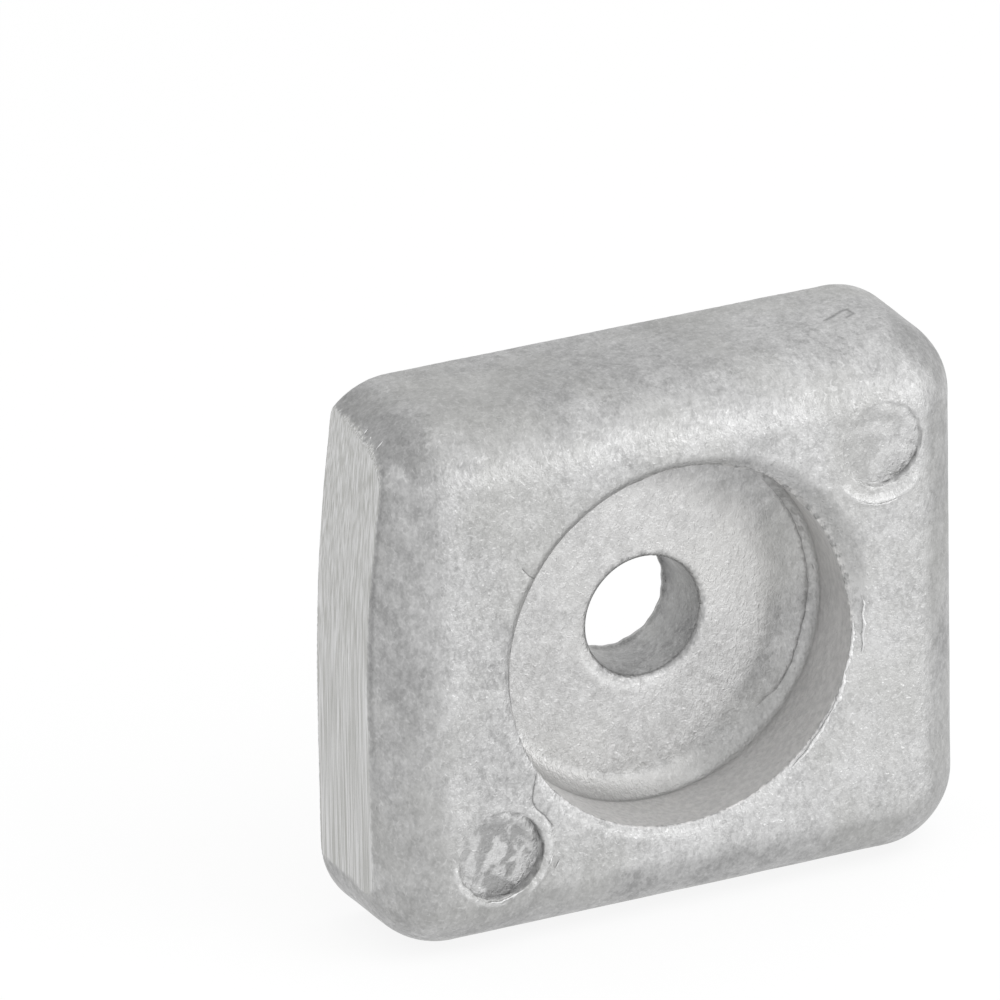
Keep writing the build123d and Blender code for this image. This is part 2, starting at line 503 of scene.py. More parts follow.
def mouth_ring(angles):
    """The counterbore's mouth, where its wall meets the soft edge.

    It is ragged on the right, and stands in at its upper right, where the soft edge is broadest.
    """
    drop = lip_drop(angles)
    ragged = MOUTH_RAGGED * wave(angles, MOUTH_WAVE) * smooth(0.4 + np.cos(angles - 0.4))
    radius = MOUTH_RADIUS - drop * WALL_DRAFT - lobes(angles, MOUTH_BULGE) + ragged
    flat = np.stack([np.cos(angles), np.sin(angles)]) * radius
    return np.stack([flat[0], drop - FRONT_DEPTH, flat[1]], axis=1)


def from_core(points):
    """Nearest place in the block's core to each point, as x and z, the way from there and its length."""
    local = points - BLOCK_MIDDLE
    core = np.clip(local, -CORE_HALF, CORE_HALF)
    away = local - core
    return core, away, np.hypot(*away.T)


def turn_at(reach):
    """How far the front has turned at a reach from the core."""
    return np.arcsin(np.clip((reach - FLAT_REACH) / FRONT_EDGE_RADIUS, 0.0, 1.0))


def roll_out(points):
    """Front points, as x and z, moved to the flat domain of the front sheet."""
    core, away, reach = from_core(points)
    rolled = np.where(reach > FLAT_REACH, FLAT_REACH + FRONT_EDGE_RADIUS * turn_at(reach), reach)
    return BLOCK_MIDDLE + core + away * (rolled / np.maximum(reach, 1e-9))[:, None]


def pin_floor(points, middle, radius, depth, tilt, roughness):
    """Share inside a pin mark, its floor's depth under the front, its rough share and the painted shade in
    its corner.

    A smoother step runs inside the upper right of a rough one.
    """
    across, up = (points - middle).T
    angle = np.arctan2(up, across)
    edge = radius + 0.06 * wave(angle, ((3, 1.0 + middle[0]), (7, 2.2), (12, middle[1]), (19, 0.4)))
    within = edge - np.hypot(across, up)
    floor = depth + tilt * (across - up)
    # Painted shade: the corner between floor and wall is the darker and the wider the deeper the floor is
    corner_width = 0.02 + 0.17 * floor
    corner = hump(within - 0.7 * PIN_WALL, corner_width, 1.2) * ramp(floor, 0.2, 0.12)
    step = roughness * lobe(angle, 50.0, 65.0) * hump(within - 0.5, 0.3, 1.3)
    inside = smooth(within / PIN_WALL)
    bare_left = 0.45 * roughness * ramp(-across, 0.6, 1.2)
    return inside, floor - 0.12 * step, inside * (roughness - 0.85 * step - bare_left), corner


def front_depth(place):
    """Depth of the front at each x and z, and its shares of pin mark floors and of dark marks: cracks, and
    painted shade in corners and on the mouth's soft edge.
    """
    depth = FRONT_EDGE_DEPTH + FRONT_EDGE_RADIUS * np.cos(turn_at(from_core(place)[2]))
    in_mark = np.zeros(len(place))
    dark = np.zeros(len(place))
    for mark in PIN_MARKS:
        inside, floor, rough, corner = pin_floor(place, *mark)
        bottom = np.minimum(depth, FRONT_DEPTH - floor)
        depth = depth + (bottom - depth) * inside
        in_mark = np.maximum(in_mark, rough)
        dark = np.maximum(dark, corner)
    for path, width, groove in FRONT_MARKS:
        gap = distance_to(place, np.asarray(path))
        depth = depth - groove * np.clip(1.0 - gap / width, 0.0, 1.0)
        dark = np.maximum(dark, 0.8 * hump(gap, width))
    for path, width, rise in FRONT_RIDGES:
        ragged = 1.0 + 0.4 * wave(place[:, 0] - place[:, 1], RIDGE_WAVE)
        depth = depth + rise * hump(distance_to(place, np.asarray(path)), width * ragged)
    angle = np.arctan2(place[:, 1], place[:, 0])
    soft = np.clip(1.0 - (np.hypot(*place.T) - MOUTH_RADIUS) / lip_width(angle), 0.0, 1.0)
    # Painted shade on the soft edge round the mouth
    dark = np.maximum(dark, smooth(1.8 * soft) * lobes(angle, LIP_SHADE))
    return depth - lip_drop(angle) * soft**1.6, in_mark, dark


def flecks_and_highlights(place):
    """Where the front is flakiest and brightest: bright flecks below the counterbore and on ridges, and
    painted highlights and painted light in its strips and patches.
    """
    angle = np.arctan2(place[:, 1], place[:, 0])
    below = hump(np.hypot(*place.T) - MOUTH_RADIUS - 0.5, 0.6)
    bare = BRIGHT_BELOW * (below * lobes(angle, BELOW_MOUTH))
    for axis, middle, half, share in HIGHLIGHT_STRIPS:
        bare = np.maximum(bare, share * hump(place[:, axis] - middle, half, 1.2))
    for middle, radius, share in LIT_PATCHES:
        bare = np.maximum(bare, share * hump(np.hypot(*(place - middle).T), radius, 1.3))
    for path, width, rise in FRONT_RIDGES:
        gap = distance_to(place, np.asarray(path))
        bare = np.maximum(bare, BRIGHT_RIDGE * hump(gap, width, 1.2))
    return bare


def top_shine(x, upwards):
    """Painted light: how much flakier and lighter the block's top is drawn towards its right end."""
    return 0.55 * ramp(x, 2.0, 8.0) * smooth(4.0 * upwards - 3.0)


def front_sheet(rng):
    """Front face, the soft edge of the counterbore, and the rounding as far as the outer band."""
    band_reach = FLAT_REACH + FRONT_EDGE_RADIUS * BAND_TURN
    border = outline_loop(band_reach, RING_STEP)[0]
    mouth = circle((0.0, 0.0), MOUTH_RADIUS, ring(MOUTH_RADIUS, RING_STEP))
    loops = [circle((0.0, 0.0), MOUTH_RADIUS + run, ring(MOUTH_RADIUS, RING_STEP)) for run in LIP_RUNS]
    for middle, radius, depth, tilt, roughness in PIN_MARKS:
        for run in PIN_RUNS:
            loops.append(roll_out(circle(middle, radius + run, ring(radius, PIN_STEP))))
    marks = []
    for path, width, depth in FRONT_MARKS:
        fine = along(path, MARK_STEP)
        marks += [beside(fine, offset) for offset in (-width, 0.0, width)]
    marks = [mark for mark in marks if np.hypot(*mark.T).min() > MOUTH_RADIUS + EDGE_MARGIN]
    half = CORE_HALF + band_reach
    grid = hex_grid(BLOCK_MIDDLE - half, BLOCK_MIDDLE + half, FRONT_STEP, rng)
    within = from_core(grid)[2] < band_reach - EDGE_MARGIN
    grid = grid[within & (np.hypot(*grid.T) > MOUTH_RADIUS + EDGE_MARGIN)]
    flat, faces = sheet(grid, [border] + loops, [mouth], marks, FRONT_STEP * 0.55)

    core, away, rolled = from_core(flat)
    out = away / np.maximum(rolled, 1e-9)[:, None]
    turn = np.clip((rolled - FLAT_REACH) / FRONT_EDGE_RADIUS, 0.0, BAND_TURN)
    reach = np.minimum(rolled, FLAT_REACH) + FRONT_EDGE_RADIUS * np.sin(turn)
    place = BLOCK_MIDDLE + core + out * reach[:, None]
    depth, in_mark, dark = front_depth(place)
    points = np.stack([place[:, 0], -depth, place[:, 1]], axis=1)
    on_mouth = np.hypot(*place.T) < MOUTH_RADIUS + 1e-4
    points[on_mouth] = mouth_ring(np.arctan2(place[on_mouth, 1], place[on_mouth, 0]))
    ground, dull = grind(points)
    # The flat face is flakier than its rounding and is drawn lighter, as painted light; the rounding starts
    # sooner on the left, and on top the lighter skin reaches further round, as a painted highlight
    steep = np.degrees(turn) - 5.0 * (1.0 + out[:, 0])
    fade = 16.0 + 8.0 * np.maximum(out[:, 1], 0.0)
    flaky = np.maximum(smooth(1.0 - steep / fade), top_shine(place[:, 0], out[:, 1]))
    return points, faces, {
        "ground": ground, "mark": in_mark, "flaky": flaky, "bare": flecks_and_highlights(place),
        "crack": np.maximum(dark, dull),
    }


def band_profile(run):
    """Reach and depth a run down the outer band, from the front rounding to the back plane."""
    front_run = FRONT_EDGE_RADIUS * (SIDE_TURN - BAND_TURN)
    side_top = FRONT_EDGE_DEPTH + FRONT_EDGE_RADIUS * math.cos(SIDE_TURN)
    side_foot = BACK_EDGE_RADIUS + BACK_EDGE_RADIUS * math.cos(SIDE_TURN)
    side_run = (side_top - side_foot) / math.cos(SIDE_DRAFT)
    turn = np.clip(BAND_TURN + run / FRONT_EDGE_RADIUS, BAND_TURN, SIDE_TURN)
    slide = np.clip(run - front_run, 0.0, side_run)
    back_turn = SIDE_TURN + np.clip((run - front_run - side_run) / BACK_EDGE_RADIUS, 0.0, math.pi)
    reach = FLAT_REACH + FRONT_EDGE_RADIUS * np.sin(turn) + slide * math.sin(SIDE_DRAFT)
    depth = FRONT_EDGE_DEPTH + FRONT_EDGE_RADIUS * np.cos(turn) - slide * math.cos(SIDE_DRAFT)
    in_back = run > front_run + side_run
    reach = np.where(in_back, BACK_FLAT_REACH + BACK_EDGE_RADIUS * np.sin(back_turn), reach)
    depth = np.where(in_back, BACK_EDGE_RADIUS + BACK_EDGE_RADIUS * np.cos(back_turn), depth)
    return reach, depth, front_run + side_run + BACK_EDGE_RADIUS * (math.pi - SIDE_TURN)


def strip_border(low_shares, high_shares, length, height, step):
    """Border of a strip rolled out flat. The points of its long sides are shares of their length."""
    rows = np.linspace(0.0, height, int(height / step) + 1)[1:-1]
    low = np.stack([low_shares * length, np.zeros(len(low_shares))], axis=1)
    high = np.stack([high_shares * length, np.full(len(high_shares), height)], axis=1)
    end = np.stack([np.zeros(len(rows)), rows], axis=1)
    return np.concatenate([low, end + [length, 0.0], high[::-1], end[::-1]])


def inside_strip(grid, length, height):
    """Those points of a grid that lie inside a strip rolled out flat."""
    inside = (grid > EDGE_MARGIN) & (grid < np.array([length, height]) - EDGE_MARGIN)
    return grid[inside.all(axis=1)]


def band_sheet(rng):
    """The band round the outside: the rest of the front rounding, the sides and the back edge."""
    length = outline_at(np.zeros(1))[2]
    shares = np.append(outline_loop(1.0, RING_STEP)[1], 1.0)
    height = band_profile(np.zeros(1))[2]
    border = strip_border(shares, shares, length, height, BAND_STEP)
    ground_from, ground_to = (share_round * length for share_round in GROUND_SHARES)
    plain = hex_grid((0.0, 0.0), (length, height), BAND_STEP, rng)
    plain = plain[(plain[:, 0] < ground_from) | (plain[:, 0] > ground_to)]
    fine = hex_grid((ground_from, 0.0), (ground_to, height), GROUND_STEP, rng)
    # The scar lies half the way round from the bottom's middle, less its x
    scar_low = np.array([2 * CORE_HALF.sum() + 2 * CORNER_ARC - SCAR_RIGHT, SCAR_START])
    scar_high = scar_low + SCAR_SIZE
    plain = plain[box_distance(plain, scar_low, scar_high) > 0.0]
    scar = hex_grid(scar_low, scar_high, SCAR_STEP, rng)
    grid = inside_strip(np.concatenate([plain, fine, scar]), length, height)
    flat, faces = sheet(grid, [border], [], [], EDGE_MARGIN)
    core, out, length = outline_at(flat[:, 0] / length)
    reach, depth, height = band_profile(flat[:, 1])
    place = BLOCK_MIDDLE + core + out * reach[:, None]
    points = np.stack([place[:, 0], -depth, place[:, 1]], axis=1)
    ground, dull = grind(points)
    gap = distance_to(np.stack([place[:, 0], depth], axis=1), np.array(TOP_SCAR))
    dark = SCAR_SHARE * hump(gap, SCAR_WIDTH) * smooth(place[:, 1] - 13.0)
    return points, faces, {
        "ground": ground, "crack": np.maximum(dull, dark), "flaky": top_shine(place[:, 0], out[:, 1]),
    }


def foot_shape(angle):
    """Run and height of the counterbore's foot, and how sharply it meets the wall."""
    broad = smooth(0.5 + 0.9 * np.cos(angle - math.radians(15.0)))
    run = FOOT_RADIUS + (WIDE_FOOT - FOOT_RADIUS) * broad
    height = FOOT_RADIUS + (LOW_FOOT - FOOT_RADIUS) * smooth(0.3 + 1.1 * np.cos(angle + math.radians(15.0)))
    return run, height, lobes(angle, FOOT_CREASE)


def foot_crack(knots):
    """Line of the crack in the counterbore's foot, rolled out flat."""
    stop_angles, stop_reaches = np.array(FOOT_CRACK).T
    angles = np.linspace(stop_angles[0], stop_angles[-1], FOOT_CRACK_POINTS)
    reach = np.interp(-angles, -stop_angles, stop_reaches)
    angles = np.radians(angles)
    reach = reach + FOOT_CRACK_RAGGED * wave(angles, FOOT_CRACK_WAVE)
    run, height, crease = foot_shape(angles)
    foot_end = MOUTH_RADIUS - (FRONT_DEPTH - SOCKET_FLOOR - height) * WALL_DRAFT
    rolled = knots[1] + (knots[2] - knots[1]) * (1.0 - (foot_end - reach) / run)
    return np.stack([rolled * np.cos(angles), rolled * np.sin(angles)], axis=1)


def socket_skin(points, rolled, angle, crease, knots, cracked):
    """Shares of each kind of skin in the counterbore, with its painted light and painted shade. cracked is
    the share of its foot's crack.
    """
    pad = np.hypot(points[:, 0] - PAD_MIDDLE[0], points[:, 2] - PAD_MIDDLE[1])
    upper = lobe(angle, 60.0, 90.0)
    # Painted light: the wall is drawn lighter all over, the foot at the lower left, and the floor most in its
    # middle; where it is lighter its relief is also quieter, as if rubbed
    rubbed_lit_wall = ramp(rolled - knots[2], -0.15, 0.3)
    lit_foot = lobes(angle, FOOT_LIT) * ramp(rolled - knots[1], 0.2, 0.9)
    lit_floor = (0.25 + lobes(angle, FLOOR_LIT)) * smooth((9.2 + 1.5 * upper - pad) / 2.2)
    # Painted shade: the crease, where the foot meets the wall, is drawn dark, and so is the foot's lower part
    crease_line = 0.4 * crease * hump(rolled - knots[2], 0.17)
    shade = ramp(rolled - knots[1], 0.5, 1.0) * smooth((knots[2] + 0.3 - rolled) / 0.4)
    shade = shade * lobes(angle, FOOT_SHADED)
    lower_left = smooth(np.cos(angle - math.radians(245.0)))
    rim_flecks = hump(rolled - knots[0] - 0.3, 0.4) * lower_left
    return {
        "rubbed": np.maximum(np.maximum(rubbed_lit_wall, lit_foot), lit_floor),
        "flaky": 0.9 - 0.9 * ramp(pad, PAD_RADIUS, 0.9),
        "crack": np.maximum(cracked, crease_line + shade),
        "bare": 0.85 * rim_flecks,
    }


def socket_sheet(rng):
    """Counterbore: floor, foot and drafted wall, rolled out flat round the hole's rim."""
    rim_radius = HOLE_RADIUS + (SOCKET_FLOOR - HOLE_RIM - HOLE_STRAIGHT) * HOLE_DRAFT + HOLE_RIM
    knots = np.array([rim_radius, *SOCKET_ROLLED])
    mouth_angles = ring(MOUTH_RADIUS, RING_STEP)
    border = circle((0.0, 0.0), knots[3], mouth_angles)
    rim = circle((0.0, 0.0), knots[0], ring(rim_radius, HOLE_STEP))
    creases = [circle((0.0, 0.0), knots[2] + run, ring(knots[2], SOCKET_STEP)) for run in (-0.09, 0.0, 0.09)]
    crack = foot_crack(knots)
    cracks = [beside(crack, offset) for offset in (-FOOT_CRACK_WIDTH, 0.0, FOOT_CRACK_WIDTH)]
    grid = hex_grid((-knots[3], -knots[3]), (knots[3], knots[3]), SOCKET_STEP, rng)
    radius = np.hypot(*grid.T)
    grid = grid[(radius < knots[3] - EDGE_MARGIN) & (radius > knots[0] + EDGE_MARGIN)]
    flat, faces = sheet(grid, [border] + creases, [rim], cracks, SOCKET_STEP * 0.5)

    # The rings between two knots become the floor, the foot or the wall
    rolled = np.hypot(*flat.T)
    angle = np.arctan2(flat[:, 1], flat[:, 0])
    run, height, crease = foot_shape(angle)
    foot_end = SOCKET_FLOOR + height
    wall_radius = MOUTH_RADIUS - (FRONT_DEPTH - foot_end) * WALL_DRAFT
    foot_start = wall_radius - run
    on_floor = np.clip((rolled - knots[0]) / (knots[1] - knots[0]), 0.0, 1.0)
    on_foot = np.clip((rolled - knots[1]) / (knots[2] - knots[1]), 0.0, 1.0)
    on_wall = np.clip((rolled - knots[2]) / (knots[3] - knots[2]), 0.0, 1.0)
    rise = (1.0 - crease) * (1.0 - np.sqrt(1.0 - on_foot**2)) + crease * on_foot**2
    mouth_depth = FRONT_DEPTH - lip_drop(angle)
    depth = SOCKET_FLOOR + height * rise + on_wall * (mouth_depth - foot_end)
    radius = rim_radius + on_floor * (foot_start - rim_radius) + on_foot * run
    radius = radius + on_wall * (mouth_depth - foot_end) * WALL_DRAFT
    radius = radius - on_wall**2 * lobes(angle, MOUTH_BULGE)
    # The crack is strongest on the right and closes towards its ends
    strength = lobe(angle, 0.0, 47.0)**0.3
    gap = distance_to(flat, crack)
    depth = depth - FOOT_CRACK_DEPTH * strength * np.clip(1.0 - gap / FOOT_CRACK_WIDTH, 0.0, 1.0)
    points = np.stack([radius * np.cos(angle), -depth, radius * np.sin(angle)], axis=1)
    on_mouth = rolled > knots[3] - 1e-4
    points[on_mouth] = mouth_ring(angle[on_mouth])
    cracked = 0.85 * strength * hump(gap, FOOT_CRACK_WIDTH)
    return points, faces, socket_skin(points, rolled, angle, crease, knots, cracked)


def hole_radius_at(depth, angle):
    """Radius of the bolt hole's wall, with the thin flash at its back end."""
    drafted = np.clip(depth - HOLE_STRAIGHT, 0.0, SOCKET_FLOOR - HOLE_RIM - HOLE_STRAIGHT)
    lead = HOLE_RADIUS + drafted * HOLE_DRAFT
    in_rim = np.clip((depth - SOCKET_FLOOR + HOLE_RIM) / HOLE_RIM, 0.0, 1.0)
    lead = lead + HOLE_RIM * (1.0 - np.sqrt(1.0 - in_rim**2))
    ragged = FLASH_LIP * (0.8 + 0.7 * wave(angle, FLASH_WAVE))
    return lead - ragged * smooth((FLASH_THICKNESS + 0.05 - depth) / 0.1)


def hole_sheet(rng):
    """Bolt hole's wall, from the rim at the counterbore's floor to the mounting face."""
    length = 2 * math.pi * HOLE_RADIUS
    rim_radius = float(hole_radius_at(np.array([SOCKET_FLOOR]), np.zeros(1))[0])
    back_shares, rim_shares = (
        np.append(ring(radius, HOLE_STEP) / (2 * math.pi), 1.0) for radius in (HOLE_RADIUS, rim_radius)
    )
    border = strip_border(back_shares, rim_shares, length, SOCKET_FLOOR, HOLE_STEP)
    turns = np.linspace(0.02, length - 0.02, int(length / HOLE_STEP))
    steps = (FLASH_THICKNESS - 0.06, FLASH_THICKNESS + 0.05, SOCKET_FLOOR - HOLE_RIM, SOCKET_FLOOR - 0.1)
    lines = [np.stack([turns, np.full(len(turns), step)], axis=1) for step in steps]
    grid = inside_strip(hex_grid((0.0, 0.0), (length, SOCKET_FLOOR), HOLE_STEP, rng), length, SOCKET_FLOOR)
    flat, faces = sheet(grid, [border], [], lines, 0.07)
    angle = flat[:, 0] / HOLE_RADIUS
    radius = hole_radius_at(flat[:, 1], angle)
    points = np.stack([radius * np.cos(angle), -flat[:, 1], radius * np.sin(angle)], axis=1)
    # Painted shade in the bolt hole: darker on its right below the rim, and in a nook at its upper right
    # towards the back end
    deep = ramp(SOCKET_FLOOR - flat[:, 1], 0.15, 0.3)
    nook = lobes(angle, HOLE_NOOK) * smooth((2.6 - flat[:, 1]) / 1.8)
    return points, faces, {"crack": (lobes(angle, HOLE_DARKER) + nook) * deep}


def back_sheet(rng):
    """Mounting face with its strip recess and its bare label recess."""
    notch_foot = STRIP_FOOT - NOTCH_HEIGHT
    strip = (
        (-STRIP_HALF, STRIP_FOOT), (-NOTCH_HALF, STRIP_FOOT), (-NOTCH_HALF, notch_foot),
        (NOTCH_HALF, notch_foot), (NOTCH_HALF, STRIP_FOOT), (STRIP_HALF, STRIP_FOOT),
        (STRIP_HALF, STRIP_TOP), (-STRIP_HALF, STRIP_TOP),
    )
    label_low = (LABEL_MIDDLE - LABEL_HALF, LABEL_FOOT)
    label_high = (LABEL_MIDDLE + LABEL_HALF, LABEL_TOP)
    label = [label_low, (label_high[0], label_low[1]), label_high, (label_low[0], label_high[1])]
    border = outline_loop(BACK_FLAT_REACH, RING_STEP)[0]
    angles = ring(HOLE_RADIUS, HOLE_STEP)
    hole = circle((0.0, 0.0), 1.0, angles) * hole_radius_at(np.zeros(len(angles)), angles)[:, None]
    strip_runs = (0.06, 0.0, -SHARP_WALL, -SHARP_WALL - 0.08)
    label_runs = (-0.08, 0.0, LABEL_WALL, LABEL_WALL + 0.08)
    loops = [rounded_loop(strip, STRIP_CORNER, grow, HOLE_STEP) for grow in strip_runs]
    loops += [rounded_loop(label, LABEL_CORNER, grow, HOLE_STEP) for grow in label_runs]
    half = CORE_HALF + BACK_FLAT_REACH
    grid = hex_grid(BLOCK_MIDDLE - half, BLOCK_MIDDLE + half, BACK_STEP, rng)
    within = from_core(grid)[2] < BACK_FLAT_REACH - BACK_MARGIN
    grid = grid[within & (np.hypot(*grid.T) > HOLE_RADIUS)]
    grid = grid[grid[:, 0] > ground_plane(grid[:, 1], 0.0) + BACK_MARGIN]
    flat, faces = sheet(grid, [border] + loops, [hole], [], BACK_MARGIN)
    in_strip = np.minimum(
        box_distance(flat, (-STRIP_HALF, STRIP_FOOT), (STRIP_HALF, STRIP_TOP)),
        box_distance(flat, (-NOTCH_HALF, notch_foot), (NOTCH_HALF, STRIP_FOOT + 1.0)),
    )
    depth = STRIP_DEPTH * smooth(-in_strip / SHARP_WALL)
    in_label = box_distance(flat, label_low, label_high)
    depth = depth + LABEL_DEPTH * np.clip(1.0 - in_label / LABEL_WALL, 0.0, 1.0)
    points = np.stack([flat[:, 0], -depth, flat[:, 1]], axis=1)
    grind(points)
    return points, faces, {"flaky": 0.6 - 0.4 * smooth(-in_label / 0.1)}


# Shares kept on the points: ground side, pin mark floor, flaky grain with painted light, rubbed wall with
# painted light, bare metal with painted highlights, dark cracks with painted shade
SKIN_SHARES = ("ground", "mark", "flaky", "rubbed", "bare", "crack")


def casting_mesh():
    """Joins the sheets into one closed mesh, with shares of each kind of skin on its points."""
    rng = np.random.default_rng(SEED)
    points, faces = [], []
    values = {name: [] for name in SKIN_SHARES}
    count = 0
    for make in (front_sheet, band_sheet, socket_sheet, hole_sheet, back_sheet):
        sheet_points, sheet_faces, sheet_values = make(rng)
        points.append(sheet_points * MM)
        faces.append(sheet_faces + count)
        for name in SKIN_SHARES:
            values[name].append(sheet_values.get(name, np.zeros(len(sheet_points))))
        count += len(sheet_points)
    mesh = bpy.data.meshes.new("cast_block")
    mesh.from_pydata(np.concatenate(points).tolist(), [], np.concatenate(faces).tolist())
    for name in SKIN_SHARES:
        layer = mesh.attributes.new(name, "FLOAT", "POINT")
        layer.data.foreach_set("value", np.concatenate(values[name]).astype(np.float32))
    work = bmesh.new()
    work.from_mesh(mesh)
    bmesh.ops.remove_doubles(work, verts=work.verts, dist=0.004 * MM)
    bmesh.ops.recalc_face_normals(work, faces=work.faces)
    loose = [vert for vert in work.verts if not vert.link_faces]
    bmesh.ops.delete(work, geom=loose, context="VERTS")
    work.to_mesh(mesh)
    work.free()
    mesh.shade_smooth()
    return mesh


def burr_lines():
    """Paths of the burrs, as loose edges on the casting's surface, with how thick each is."""
    lines, thicknesses = [], []
    for path, thick in FRONT_BURRS:
        place = along(path, BURR_STEP)
        lines.append(np.stack([place[:, 0], -front_depth(place)[0] - BURR_LIFT, place[:, 1]], axis=1))
        thicknesses += [thick] * len(place)
    for path, thick in SIDE_BURRS:
        lines.append(np.array(path) * (1.0, -1.0, 1.0))
        thicknesses += [thick] * len(path)
    ends = np.cumsum([len(line) for line in lines])
    edges = [(index, index + 1) for index in range(ends[-1] - 1) if index + 1 not in ends]
    mesh = bpy.data.meshes.new("burr_lines")
    mesh.from_pydata((np.concatenate(lines) * MM).tolist(), edges, [])
    layer = mesh.attributes.new("thick", "FLOAT", "POINT")
    layer.data.foreach_set("value", np.array(thicknesses, np.float32))
    return mesh


def linear(code):
    """Linear colour of an sRGB hex value, with full alpha."""
    parts = [int(code[k:k + 2], 16) / 255 for k in (1, 3, 5)]
    return [p / 12.92 if p <= 0.04045 else ((p + 0.055) / 1.055) ** 2.4 for p in parts] + [1.0]


def add(tree, kind, inputs=None, **settings):
    """Adds a node with its settings. An input takes a plain value or another node's output."""
    node = tree.nodes.new(kind)
    for name, value in settings.items():
        setattr(node, name, value)
    for key, value in (inputs or {}).items():
        if isinstance(value, bpy.types.NodeSocket):
            tree.links.new(value, node.inputs[key])
        else:
            node.inputs[key].default_value = value
    return node


def new_tree(name, lengths):
    """Geometry node tree whose named inputs are a material, some lengths and a seed."""
    tree = bpy.data.node_groups.new(name, "GeometryNodeTree")
    for way in ("INPUT", "OUTPUT"):
        tree.interface.new_socket("Geometry", in_out=way, socket_type="NodeSocketGeometry")
    tree.interface.new_socket("Material", in_out="INPUT", socket_type="NodeSocketMaterial")
    for label in lengths:
        socket = tree.interface.new_socket(label, in_out="INPUT", socket_type="NodeSocketFloat")
        socket.subtype = "DISTANCE"
    tree.interface.new_socket("Seed", in_out="INPUT", socket_type="NodeSocketInt")
    return tree, add(tree, "NodeGroupInput").outputs


def finish_tree(tree, geometry, material):
    """Ends a tree in real geometry with its material."""
    real = add(tree, "GeometryNodeRealizeInstances", {0: geometry})
    painted = add(tree, "GeometryNodeSetMaterial", {0: real.outputs[0], "Material": material})
    add(tree, "NodeGroupOutput", {0: painted.outputs[0]})


def run_tree(mesh, tree, settings, material, name):
    """Plain mesh object that a tree makes of a mesh.

    Its inputs are a material and those properties of a property group that have their names.
    """
    values = {each.name: getattr(settings, each.identifier) for each in settings.bl_rna.properties}
    values["Material"] = material
    source = bpy.data.objects.new(name + "_source", mesh)
    bpy.context.scene.collection.objects.link(source)
    modifier = source.modifiers.new(tree.name, "NODES")
    modifier.node_group = tree
    for item in tree.interface.items_tree:
        if item.item_type == "SOCKET" and item.in_out == "INPUT" and item.name in values:
            modifier[item.identifier] = values[item.name]
    graph = bpy.context.evaluated_depsgraph_get()
    made = bpy.data.meshes.new_from_object(source.evaluated_get(graph), depsgraph=graph)
    source.modifiers.remove(modifier)
    bpy.data.objects.remove(source)
    made.name = name
    piece = bpy.data.objects.new(name, made)
    bpy.context.scene.collection.objects.link(piece)
    return piece


def relief_tree():
    """Relief of the skins: cast grain and swell, grinding marks, and quieter rubbed walls."""
    tree, group = new_tree("Cast skin relief", (
        "Grain height", "Grain size", "Swell height", "Swell size", "Grinding depth", "Grinding spacing",
    ))
    place = add(tree, "GeometryNodeInputPosition").outputs[0]
    normal = add(tree, "GeometryNodeInputNormal").outputs[0]
    value = {name: group[name] for name in ("Grain height", "Swell height", "Grinding depth")}
    for name in SKIN_SHARES:
        share = add(tree, "GeometryNodeInputNamedAttribute", {"Name": name}, data_type="FLOAT")
        value[name] = share.outputs[0]
    # Each pattern's width, its squeeze along z, and its finer detail
    for name, size, squeeze, detail in (
        ("grain", "Grain size", 0.6, 1.0),
        ("swell", "Swell size", 1.0, 1.0),
        ("lines", "Grinding spacing", 0.03, 2.0),
    ):
        scale = add(tree, "ShaderNodeMath", {0: 1.0, 1: group[size]}, operation="DIVIDE").outputs[0]
        squeezed = add(tree, "ShaderNodeVectorMath", {0: place, 1: (1.0, 1.0, squeeze)}, operation="MULTIPLY")
        noise = add(tree, "ShaderNodeTexNoise", {
            "Vector": squeezed.outputs[0], "W": group["Seed"], "Scale": scale, "Detail": detail,
        }, noise_dimensions="4D")
        swing = add(tree, "ShaderNodeMath", {0: noise.outputs[0], 1: 0.5}, operation="SUBTRACT")
        value[name] = swing.outputs[0]
    for name, operation, *terms in (
        ("coarse", "MULTIPLY_ADD", "mark", 1.2, 0.4),
        ("coarse", "MULTIPLY_ADD", "flaky", 0.65, "coarse"),
        ("coarse", "MULTIPLY_ADD", "bare", 0.8, "coarse"),
        ("quiet", "MULTIPLY_ADD", "rubbed", -0.45, 1.0),
        ("cast", "SUBTRACT", 1.0, "ground"),
        ("grain", "MULTIPLY", "grain", "Grain height"),
        ("grain", "MULTIPLY", "grain", "coarse"),
        ("grain", "MULTIPLY", "grain", "quiet"),
        ("grain", "MULTIPLY", "grain", "cast"),
        ("swell", "MULTIPLY", "swell", "Swell height"),
        ("swell", "MULTIPLY", "swell", "quiet"),
        ("lines", "MULTIPLY", "lines", "Grinding depth"),
        ("lines", "MULTIPLY_ADD", "lines", "ground", "swell"),
        ("total", "ADD", "grain", "lines"),
    ):
        inputs = {index: value.get(term, term) for index, term in enumerate(terms)}
        value[name] = add(tree, "ShaderNodeMath", inputs, operation=operation).outputs[0]
    offset = add(tree, "ShaderNodeVectorMath", {0: normal, "Scale": value["total"]}, operation="SCALE")
    moved = add(tree, "GeometryNodeSetPosition", {0: group["Geometry"], "Offset": offset.outputs[0]})
    finish_tree(tree, moved.outputs[0], group["Material"])
    return tree


